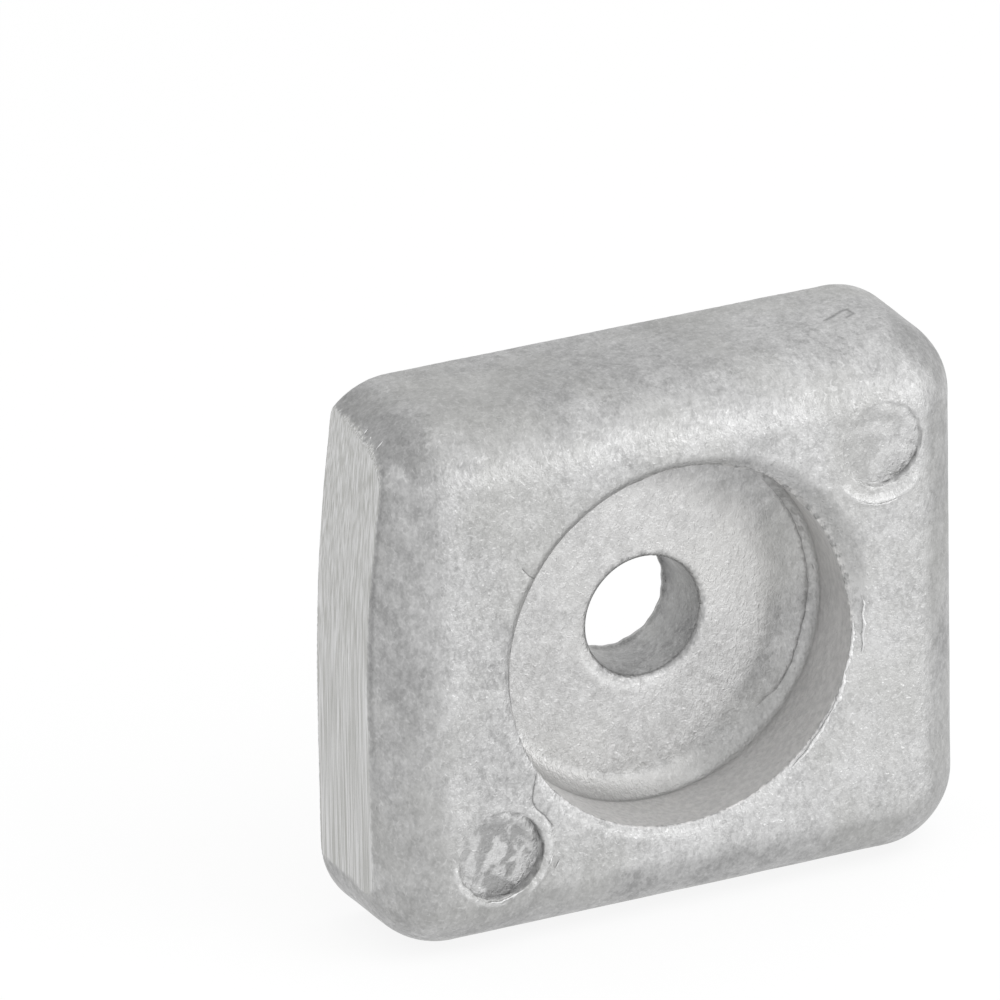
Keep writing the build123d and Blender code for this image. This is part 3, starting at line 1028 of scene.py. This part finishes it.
def burr_tree():
    """A thin burr along each path. It swells, thins and wanders, and fades out at both ends."""
    tree, group = new_tree("Thin burr", ("Thickness", "Step", "Ragged size", "Wander"))
    line = add(tree, "GeometryNodeMeshToCurve", {0: group["Geometry"]}).outputs[0]
    line = add(tree, "GeometryNodeResampleCurve", {0: line, "Length": group["Step"]}, mode="LENGTH")
    place = add(tree, "GeometryNodeInputPosition").outputs[0]
    thick = add(tree, "GeometryNodeInputNamedAttribute", {"Name": "thick"}, data_type="FLOAT").outputs[0]
    scale = add(tree, "ShaderNodeMath", {0: 1.0, 1: group["Ragged size"]}, operation="DIVIDE").outputs[0]
    noise = add(tree, "ShaderNodeTexNoise", {
        "Vector": place, "W": group["Seed"], "Scale": scale, "Detail": 2.0,
    }, noise_dimensions="4D").outputs
    aside = add(tree, "ShaderNodeVectorMath", {0: noise["Color"], 1: (0.5, 0.5, 0.5)}, operation="SUBTRACT")
    aside = add(tree, "ShaderNodeVectorMath", {
        0: aside.outputs[0], "Scale": group["Wander"],
    }, operation="SCALE").outputs[0]
    line = add(tree, "GeometryNodeSetPosition", {0: line.outputs[0], "Offset": aside}).outputs[0]
    run = add(tree, "GeometryNodeSplineParameter").outputs["Factor"]
    value = {"run": run, "noise": noise["Fac"], "thick": thick, "Thickness": group["Thickness"]}
    for name, operation, *terms in (
        ("ends", "MULTIPLY", "run", math.pi),
        ("ends", "SINE", "ends"),
        ("ends", "MULTIPLY_ADD", "ends", 0.9, 0.1),
        ("swell", "MULTIPLY_ADD", "noise", 3.0, -0.6),
        ("swell", "MAXIMUM", "swell", 0.25),
        ("radius", "MULTIPLY", "ends", "swell"),
        ("radius", "MULTIPLY", "radius", "thick"),
        ("radius", "MULTIPLY", "radius", "Thickness"),
    ):
        inputs = {index: value.get(term, term) for index, term in enumerate(terms)}
        value[name] = add(tree, "ShaderNodeMath", inputs, operation=operation).outputs[0]
    profile = add(tree, "GeometryNodeCurvePrimitiveCircle", {"Resolution": 8, "Radius": 1.0}).outputs[0]
    burr = add(tree, "GeometryNodeCurveToMesh", {
        0: line, "Profile Curve": profile, "Scale": value["radius"], "Fill Caps": True,
    }).outputs[0]
    for name, share in (("bare", 1.0), ("flaky", 0.5)):
        burr = add(tree, "GeometryNodeStoreNamedAttribute", {
            0: burr, "Name": name, "Value": share,
        }, data_type="FLOAT", domain="POINT").outputs[0]
    burr = add(tree, "GeometryNodeSetShadeSmooth", {0: burr}).outputs[0]
    finish_tree(tree, burr, group["Material"])
    return tree


# Flakes of the cast skin: width of one, and how far and how often its sides bend
FLAKE_SIZE = 0.24
BEND_REACH = 0.2
BEND_SIZE = 0.16

# Painted shade, darker towards the left: the x where it starts and where it is full, and how far its edge
# wanders
LEFT_SHADE_REACH = (20.0, -12.0)
LEFT_SHADE_WANDER = 10.0


def cast_metal(colours):
    """Aluminium alloy, die cast and dulled by air.

    The die's worn steel leaves small flakes, each with a tone of its own, and faint
    worm-like flecks between them. The grinder leaves long bright scratches on the
    left side, and the counterbore's wall is smoother where the die's core slid out.
    Light and shade are painted into the colour too: the flat face is lighter than
    its rounding and darker towards the left, strips along the edges are painted
    highlights, the counterbore's wall, foot and floor are painted lighter, and
    corners, creases, the bolt hole and the mouth's soft edge carry painted shade.
    """
    material = bpy.data.materials.new("Aluminium alloy, die cast and dulled")
    material.use_nodes = True
    tree = material.node_tree
    tree.nodes.clear()
    place = add(tree, "ShaderNodeTexCoord").outputs["Object"]
    value = {}
    for name in SKIN_SHARES:
        value[name] = add(tree, "ShaderNodeAttribute", attribute_name=name).outputs["Fac"]
    # Each pattern's size in mm, detail, distortion, squeeze along z, and the range it is drawn from
    for name, size, detail, distortion, squeeze, low, high in (
        ("gate", 5.0, 1.0, 0.0, 1.0, 0.0, 1.0),          # wanders the edge of the painted shade on the left
        ("slow", 3.4, 2.0, 0.0, 1.0, 0.3, 0.7),          # cloudy tone
        ("tint", 6.0, 2.0, 0.0, 1.0, 0.4, 0.7),
        ("patchy", 0.9, 2.0, 0.4, 1.0, 0.3, 0.7),
        ("broken", 0.3, 1.0, 0.0, 1.0, 0.48, 0.62),      # breaks the worms up
        ("streaks", 0.3, 2.0, 0.0, 0.6, 0.28, 0.72),
        ("specks", 0.14, 1.0, 0.0, 0.8, 0.3, 0.7),
        ("worms", 0.4, 0.0, 0.2, 0.6, 0.0, 1.0),
        ("pits", 0.3, 1.0, 0.0, 1.0, 0.7, 0.78),
        ("mottle", 0.85, 7.0, 0.15, 1.0, 0.45, 0.57),    # floor of a pin mark
        ("scratches", 0.09, 2.0, 0.0, 0.013, 0.32, 0.68),  # grinding marks
        ("fine", 0.11, 2.0, 0.0, 1.0, 0.0, 1.0),
        ("grain", 0.27, 2.0, 0.6, 0.6, 0.0, 1.0),
    ):
        squeezed = add(tree, "ShaderNodeMapping", {"Vector": place, "Scale": (1.0, 1.0, squeeze)}).outputs[0]
        noise = add(tree, "ShaderNodeTexNoise", {
            "Vector": squeezed, "Scale": 1.0 / (size * MM), "Detail": detail, "Distortion": distortion,
        }).outputs[0]
        value[name] = add(tree, "ShaderNodeMapRange", {
            "Value": noise, "From Min": low, "From Max": high,
        }, interpolation_type="SMOOTHSTEP").outputs[0]
    # Flakes of the skin: cells with bent sides, each with a tone of its own
    bend = add(tree, "ShaderNodeTexNoise", {
        "Vector": place, "Scale": 1.0 / (BEND_SIZE * MM), "Detail": 1.0,
    }).outputs["Color"]
    bent = add(tree, "ShaderNodeVectorMath", {
        0: bend, 1: (BEND_REACH * MM,) * 3, 2: place,
    }, operation="MULTIPLY_ADD").outputs[0]
    bent = add(tree, "ShaderNodeMapping", {"Vector": bent, "Scale": (1.0, 1.0, 0.7)}).outputs[0]
    flakes = add(tree, "ShaderNodeTexVoronoi", {"Vector": bent, "Scale": 1.0 / (FLAKE_SIZE * MM)})
    value["flakes"] = flakes.outputs["Color"]
    # Painted shade: the skin is drawn darker towards the left, and its grain a little livelier there
    across = add(tree, "ShaderNodeSeparateXYZ", {0: place}).outputs[0]
    across = add(tree, "ShaderNodeMath", {
        0: value["gate"], 1: LEFT_SHADE_WANDER * MM, 2: across,
    }, operation="MULTIPLY_ADD").outputs[0]
    value["gate"] = add(tree, "ShaderNodeMapRange", {
        "Value": across, "From Min": LEFT_SHADE_REACH[0] * MM, "From Max": LEFT_SHADE_REACH[1] * MM,
    }, interpolation_type="SMOOTHSTEP").outputs[0]
    for name, operation, *terms in (
        ("lively", "MULTIPLY_ADD", "gate", 0.05, 0.9),
        ("tone", "MULTIPLY_ADD", "gate", -0.19, 0.43),   # painted shade: the flat face is darker towards the left
        # Painted light: the tone is lighter where the flaky share is high, on the flat face and the top's
        # right end
        ("tone", "MULTIPLY", "tone", "flaky"),
        ("flaky", "MULTIPLY_ADD", "flaky", 0.3, 0.7),
        ("lively", "MULTIPLY", "lively", "flaky"),
        ("tone", "MULTIPLY_ADD", "patchy", 0.25, "tone"),
        ("tone", "MULTIPLY_ADD", "slow", 0.2, "tone"),
        ("live", "MULTIPLY_ADD", "specks", 0.28, -0.39),
        ("live", "MULTIPLY_ADD", "streaks", 0.28, "live"),
        ("live", "MULTIPLY_ADD", "flakes", 0.48, "live"),
        ("tone", "MULTIPLY_ADD", "live", "lively", "tone"),
        ("tone", "MULTIPLY_ADD", "bare", 0.35, "tone"),
        ("worms", "SUBTRACT", "worms", 0.5),
        ("worms", "ABSOLUTE", "worms"),
        ("worms", "MULTIPLY_ADD", "worms", -8.0, 1.0),
        ("worms", "MAXIMUM", "worms", 0.0),
        ("worms", "MULTIPLY", "worms", "broken"),
        ("worms", "MULTIPLY", "worms", "lively"),
        ("brighter", "MULTIPLY_ADD", "bare", 0.5, 0.25),
        ("worm_share", "MULTIPLY", "worms", "brighter"),
        ("bare_and_lit_share", "MULTIPLY_ADD", "bare", 0.25, "bare"),
        ("bare_and_lit_share", "SUBTRACT", "bare_and_lit_share", 0.55),
        ("bare_and_lit_share", "MAXIMUM", "bare_and_lit_share", 0.0),
        ("uneven", "MULTIPLY_ADD", "flakes", 0.9, 0.55),
        ("bare_and_lit_share", "MULTIPLY", "bare_and_lit_share", "uneven"),
        ("tint", "MULTIPLY", "tint", 0.4),
        ("pit_share", "MULTIPLY", "pits", 0.15),
        ("mark_share", "MULTIPLY", "mark", 0.8),
        ("rubbed_and_lit_share", "MULTIPLY_ADD", "streaks", -0.3, 0.98),
        ("rubbed_and_lit_share", "MULTIPLY", "rubbed_and_lit_share", "rubbed"),
        ("crack_and_shade_share", "MULTIPLY", "crack", 0.85),
        ("rough", "MULTIPLY_ADD", "slow", -0.05, 0.52),
        ("rough", "MULTIPLY_ADD", "worms", -0.1, "rough"),
        ("height", "MULTIPLY_ADD", "fine", 0.5, "grain"),
        ("height", "MULTIPLY_ADD", "worms", 0.35, "height"),
        ("height", "MULTIPLY", "height", "lively"),
        ("scored", "MULTIPLY", "scratches", "ground"),
        ("height", "MULTIPLY_ADD", "scored", 1.2, "height"),
    ):
        inputs = {index: value.get(term, term) for index, term in enumerate(terms)}
        value[name] = add(tree, "ShaderNodeMath", inputs, operation=operation).outputs[0]
    # Each layer goes over those before it: its place in the stack, its share, and what it mixes in
    colour = dict(colours)
    # The tone, the rubbed layer and the bare layer carry painted light, and the crack layer carries painted
    # shade
    for name, share, below, above in (
        ("skin", "tone", "dull", "light"),
        ("skin", "tint", "skin", "warm"),
        ("skin", "worm_share", "skin", "fleck"),
        ("skin", "pit_share", "skin", "pit_and_shade"),
        ("floor", "mottle", "dull", "light"),
        ("skin", "mark_share", "skin", "floor"),
        ("side", "scratches", "warm", "ground"),
        ("skin", "ground", "skin", "side"),
        ("skin", "rubbed_and_lit_share", "skin", "rubbed"),
        ("skin", "bare_and_lit_share", "skin", "fleck"),
        ("skin", "crack_and_shade_share", "skin", "pit_and_shade"),
    ):
        inputs = {0: value[share], 6: colour[below], 7: colour[above]}
        colour[name] = add(tree, "ShaderNodeMix", inputs, data_type="RGBA").outputs[2]
    bump = add(tree, "ShaderNodeBump", {"Height": value["height"], "Strength": 0.8, "Distance": 0.06 * MM})
    metal = add(tree, "ShaderNodeBsdfPrincipled", {
        "Base Color": colour["skin"], "Roughness": value["rough"], "Metallic": 1.0, "Normal": bump.outputs[0],
    })
    add(tree, "ShaderNodeOutputMaterial", {"Surface": metal.outputs[0]})
    return material


class AnodeCasting(bpy.types.PropertyGroup):
    """Relief and colours of the casting's skins."""

    grain_height: FloatProperty(
        name="Grain height", description="Height of the cast grain", default=0.035 * MM,
        unit="LENGTH", precision=6)
    grain_size: FloatProperty(
        name="Grain size", description="Width of one grain of the cast skin", default=0.5 * MM,
        unit="LENGTH", precision=6)
    swell_height: FloatProperty(
        name="Swell height", description="Height of the slow unevenness of the faces", default=0.07 * MM,
        unit="LENGTH", precision=6)
    swell_size: FloatProperty(
        name="Swell size", description="Width of the slow unevenness", default=3.5 * MM,
        unit="LENGTH", precision=6)
    grinding_depth: FloatProperty(
        name="Grinding depth", description="Depth of the grinding marks", default=0.04 * MM,
        unit="LENGTH", precision=6)
    grinding_spacing: FloatProperty(
        name="Grinding spacing", description="Distance between grinding marks", default=0.27 * MM,
        unit="LENGTH", precision=6)
    seed: IntProperty(name="Seed", description="Picks the pattern of the relief", default=3)
    # Also the dark end of the painted shade in the skin's tone
    dull: FloatVectorProperty(
        name="Dull skin", description="Darker patches of the cast skin", default=linear("#9c9c9c"),
        size=4, subtype="COLOR")
    # Also painted light: the counterbore's wall, foot and floor are drawn in this colour to lighten their
    # shade
    rubbed: FloatVectorProperty(
        name="Rubbed wall", description="Counterbore's wall, rubbed bright by the die",
        default=linear("#ecebea"), size=4, subtype="COLOR")
    light: FloatVectorProperty(
        name="Light skin", description="Lighter patches of the cast skin", default=linear("#d2d2d2"),
        size=4, subtype="COLOR")
    warm: FloatVectorProperty(
        name="Warm tint", description="Faint warm tint in places", default=linear("#b4b4b1"),
        size=4, subtype="COLOR")
    # Also the colour of the painted highlights along the front's edges
    fleck: FloatVectorProperty(
        name="Flecks", description="Bright flecks of the cast skin", default=linear("#e8e8e8"),
        size=4, subtype="COLOR")
    # Also the colour of painted shade in corners, creases, the bolt hole and the mouth's soft edge
    pit_and_shade: FloatVectorProperty(
        name="Pits", description="Pits and cracks", default=linear("#606060"),
        size=4, subtype="COLOR")
    ground: FloatVectorProperty(
        name="Ground skin", description="Bright lines left by the grinder", default=linear("#dadada"),
        size=4, subtype="COLOR")


class AnodeBurrs(bpy.types.PropertyGroup):
    """Thin burrs on the casting's edges."""

    thickness: FloatProperty(
        name="Thickness", description="Half the thickness of a burr", default=0.06 * MM,
        unit="LENGTH", precision=6)
    step: FloatProperty(
        name="Step", description="Distance between a burr's rings", default=0.06 * MM,
        unit="LENGTH", precision=6)
    ragged_size: FloatProperty(
        name="Ragged size", description="Distance over which a burr swells and thins", default=0.35 * MM,
        unit="LENGTH", precision=6)
    wander: FloatProperty(
        name="Wander", description="How far a burr strays from its line", default=0.12 * MM,
        unit="LENGTH", precision=6)
    seed: IntProperty(name="Seed", description="Picks how the burrs stray", default=2)


class AnodeStudio(bpy.types.PropertyGroup):
    """Lamps, floor and lens."""

    key_power: FloatProperty(
        name="Key power", description="Power of the soft box in front on the right", default=0.55,
        unit="POWER")
    overhead_power: FloatProperty(
        name="Overhead power", description="Power of the overhead soft box", default=0.226,
        unit="POWER")
    floor_power: FloatProperty(
        name="Floor power", description="Power of the lamp over the floor in front", default=0.063,
        unit="POWER")
    surround: FloatProperty(name="Surround", description="Strength of the light from all round", default=1.0)
    lens: FloatProperty(name="Lens", description="Focal length in millimetres", default=540.0)


class ANODE_OT_casting(bpy.types.Operator):
    """Build the cast block with its counterbore, bolt hole, pin marks and recesses"""

    bl_idname = "anode.casting"
    bl_label = "Cast block"

    def execute(self, context):
        settings = context.scene.anode_casting
        names = ("dull", "light", "warm", "fleck", "pit_and_shade", "ground", "rubbed")
        material = cast_metal({name: getattr(settings, name)[:] for name in names})
        piece = run_tree(casting_mesh(), relief_tree(), settings, material, "cast_block")
        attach(piece, "root")
        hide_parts(CASTING_NODE)
        return {"FINISHED"}


class ANODE_OT_burrs(bpy.types.Operator):
    """Draw the thin burrs on the cast block's edges"""

    bl_idname = "anode.burrs"
    bl_label = "Burrs"

    def execute(self, context):
        casting = bpy.data.objects.get("cast_block")
        if casting is None:
            raise RuntimeError("The cast block has to be built before its burrs")
        settings = context.scene.anode_burrs
        material = casting.data.materials[0]
        piece = run_tree(burr_lines(), burr_tree(), settings, material, "thin_burrs")
        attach(piece, "root")
        return {"FINISHED"}


# Camera, fitted to the photograph's outline and rims. Lengths in millimetres
CAMERA_PLACE = (-333.839, -681.787, 324.413)
CAMERA_AZIMUTH = math.radians(-25.647)
CAMERA_ELEVATION = math.radians(22.792)
CAMERA_ROLL = math.radians(-1.134)
SENSOR_WIDTH = 36.0

# Floor: its radius in metres, and its share of plain white where it is seen
FLOOR_RADIUS = 3
FLOOR_LIFT = 0.85

# Soft boxes: place and size in metres, whose power each has, and whether it lights the floor alone
SOFT_BOXES = (
    ("front_box", (0.333, -0.427, 0.096), (0.5, 0.22), "key_power", False),
    ("overhead_box", (0.08, -0.22, 0.44), (0.4, 0.3), "overhead_power", False),
    ("floor_box", (0.06, -0.09, 0.12), (0.1, 0.1), "floor_power", True),
)


def look_from(azimuth, elevation, roll):
    """Camera's rotation for a direction round the object and above it, and a turn about its axis."""
    level = math.cos(elevation)
    back = Vector((math.sin(azimuth) * level, -math.cos(azimuth) * level, math.sin(elevation)))
    right = Vector((0.0, 0.0, 1.0)).cross(back).normalized()
    up = back.cross(right)
    turned_right = right * math.cos(roll) + up * math.sin(roll)
    turned_up = up * math.cos(roll) - right * math.sin(roll)
    return Matrix((turned_right, turned_up, back)).transposed()


def soft_box(name, place, size, power, floor_only):
    """Area lamp aimed at the object's middle. Place and size in metres.

    One that is for the floor hangs level, and isn't mirrored in the metal.
    """
    data = bpy.data.lights.new(name, "AREA")
    data.shape = "RECTANGLE"
    data.size, data.size_y = size
    data.energy = power
    lamp = bpy.data.objects.new(name, data)
    lamp.location = place
    if not floor_only:
        lamp.rotation_euler = (-Vector(place)).to_track_quat("-Z", "Y").to_euler()
    lamp.visible_glossy = not floor_only
    lamp.visible_camera = False
    bpy.context.scene.collection.objects.link(lamp)


class ANODE_OT_stage(bpy.types.Operator):
    """Build the floor, the soft light and the camera"""

    bl_idname = "anode.stage"
    bl_label = "Stage"

    def execute(self, context):
        studio = context.scene.anode_studio
        height = FLOOR_HEIGHT * MM
        mesh = bpy.data.meshes.new("floor")
        angles = ring(1.0, 0.1)
        corners = [(FLOOR_RADIUS * math.cos(a), FLOOR_RADIUS * math.sin(a), height) for a in angles]
        mesh.from_pydata(corners, [], [list(range(len(corners)))])
        floor = bpy.data.objects.new("floor", mesh)
        context.scene.collection.objects.link(floor)
        mesh.materials.append(floor_paper())
        world = bpy.data.worlds.new("White surround")
        context.scene.world = world
        world.use_nodes = True
        tree = world.node_tree
        tree.nodes.clear()
        seen = seen_directly(tree)
        strength = add(tree, "ShaderNodeMix", {0: seen, 2: studio.surround, 3: 1.0}).outputs[0]
        back = add(tree, "ShaderNodeBackground", {"Color": (1.0, 1.0, 1.0, 1.0), "Strength": strength})
        add(tree, "ShaderNodeOutputWorld", {"Surface": back.outputs[0]})
        for name, place, size, power, floor_only in SOFT_BOXES:
            soft_box(name, place, size, getattr(studio, power), floor_only)
        data = bpy.data.cameras.new("camera")
        data.sensor_width = SENSOR_WIDTH
        data.lens = studio.lens
        data.clip_start, data.clip_end = 0.05, 10.0
        camera = bpy.data.objects.new("camera", data)
        turn = look_from(CAMERA_AZIMUTH, CAMERA_ELEVATION, CAMERA_ROLL)
        camera.matrix_world = Matrix.Translation(Vector(CAMERA_PLACE) * MM) @ turn.to_4x4()
        context.scene.collection.objects.link(camera)
        context.scene.camera = camera
        context.scene.view_settings.view_transform = "Standard"
        return {"FINISHED"}


def seen_directly(tree):
    """1 for camera, glossy and transmission rays, which see the plain white background."""
    path = add(tree, "ShaderNodeLightPath").outputs
    seen = path["Is Camera Ray"]
    for ray in ("Is Glossy Ray", "Is Transmission Ray"):
        seen = add(tree, "ShaderNodeMath", {0: seen, 1: path[ray]}, operation="MAXIMUM").outputs[0]
    return seen


def floor_paper():
    """White seamless paper, matt. It is lifted to white where it is seen, and keeps the shadow."""
    material = bpy.data.materials.new("Seamless paper, matt white")
    material.use_nodes = True
    tree = material.node_tree
    tree.nodes.clear()
    paper = add(tree, "ShaderNodeBsdfDiffuse", {"Color": linear("#f4f4f4")})
    glow = add(tree, "ShaderNodeEmission", {"Color": (1.0, 1.0, 1.0, 1.0), "Strength": 1.0})
    lift = add(tree, "ShaderNodeMath", {0: seen_directly(tree), 1: FLOOR_LIFT}, operation="MULTIPLY")
    shaders = {0: lift.outputs[0], 1: paper.outputs[0], 2: glow.outputs[0]}
    mixed = add(tree, "ShaderNodeMixShader", shaders)
    add(tree, "ShaderNodeOutputMaterial", {"Surface": mixed.outputs[0]})
    return material


class ANODE_PT_builder(bpy.types.Panel):
    """Lists the anode's pieces and their settings"""

    bl_label = "Sacrificial Anode"
    bl_idname = "ANODE_PT_builder"
    bl_space_type = "VIEW_3D"
    bl_region_type = "UI"
    bl_category = "Anode"

    def draw(self, context):
        for group, operators in (
            (context.scene.anode_casting, ("anode.casting",)),
            (context.scene.anode_burrs, ("anode.burrs",)),
            (context.scene.anode_studio, ("anode.stage",)),
        ):
            box = self.layout.box()
            for name in group.bl_rna.properties.keys():
                if name not in ("rna_type", "name"):
                    box.prop(group, name)
            for operator in operators:
                box.operator(operator)


CLASSES = (
    AnodeCasting, AnodeBurrs, AnodeStudio, ANODE_OT_casting, ANODE_OT_burrs, ANODE_OT_stage, ANODE_PT_builder,
)


def register():
    for each in CLASSES:
        bpy.utils.register_class(each)
    bpy.types.Scene.anode_casting = PointerProperty(type=AnodeCasting)
    bpy.types.Scene.anode_burrs = PointerProperty(type=AnodeBurrs)
    bpy.types.Scene.anode_studio = PointerProperty(type=AnodeStudio)


def unregister():
    del bpy.types.Scene.anode_casting
    del bpy.types.Scene.anode_burrs
    del bpy.types.Scene.anode_studio
    for each in reversed(CLASSES):
        bpy.utils.unregister_class(each)


def main():
    """Builds every piece and the stage."""
    register()
    bpy.ops.anode.casting()
    bpy.ops.anode.burrs()
    bpy.ops.anode.stage()


if __name__ == "__main__":
    main()
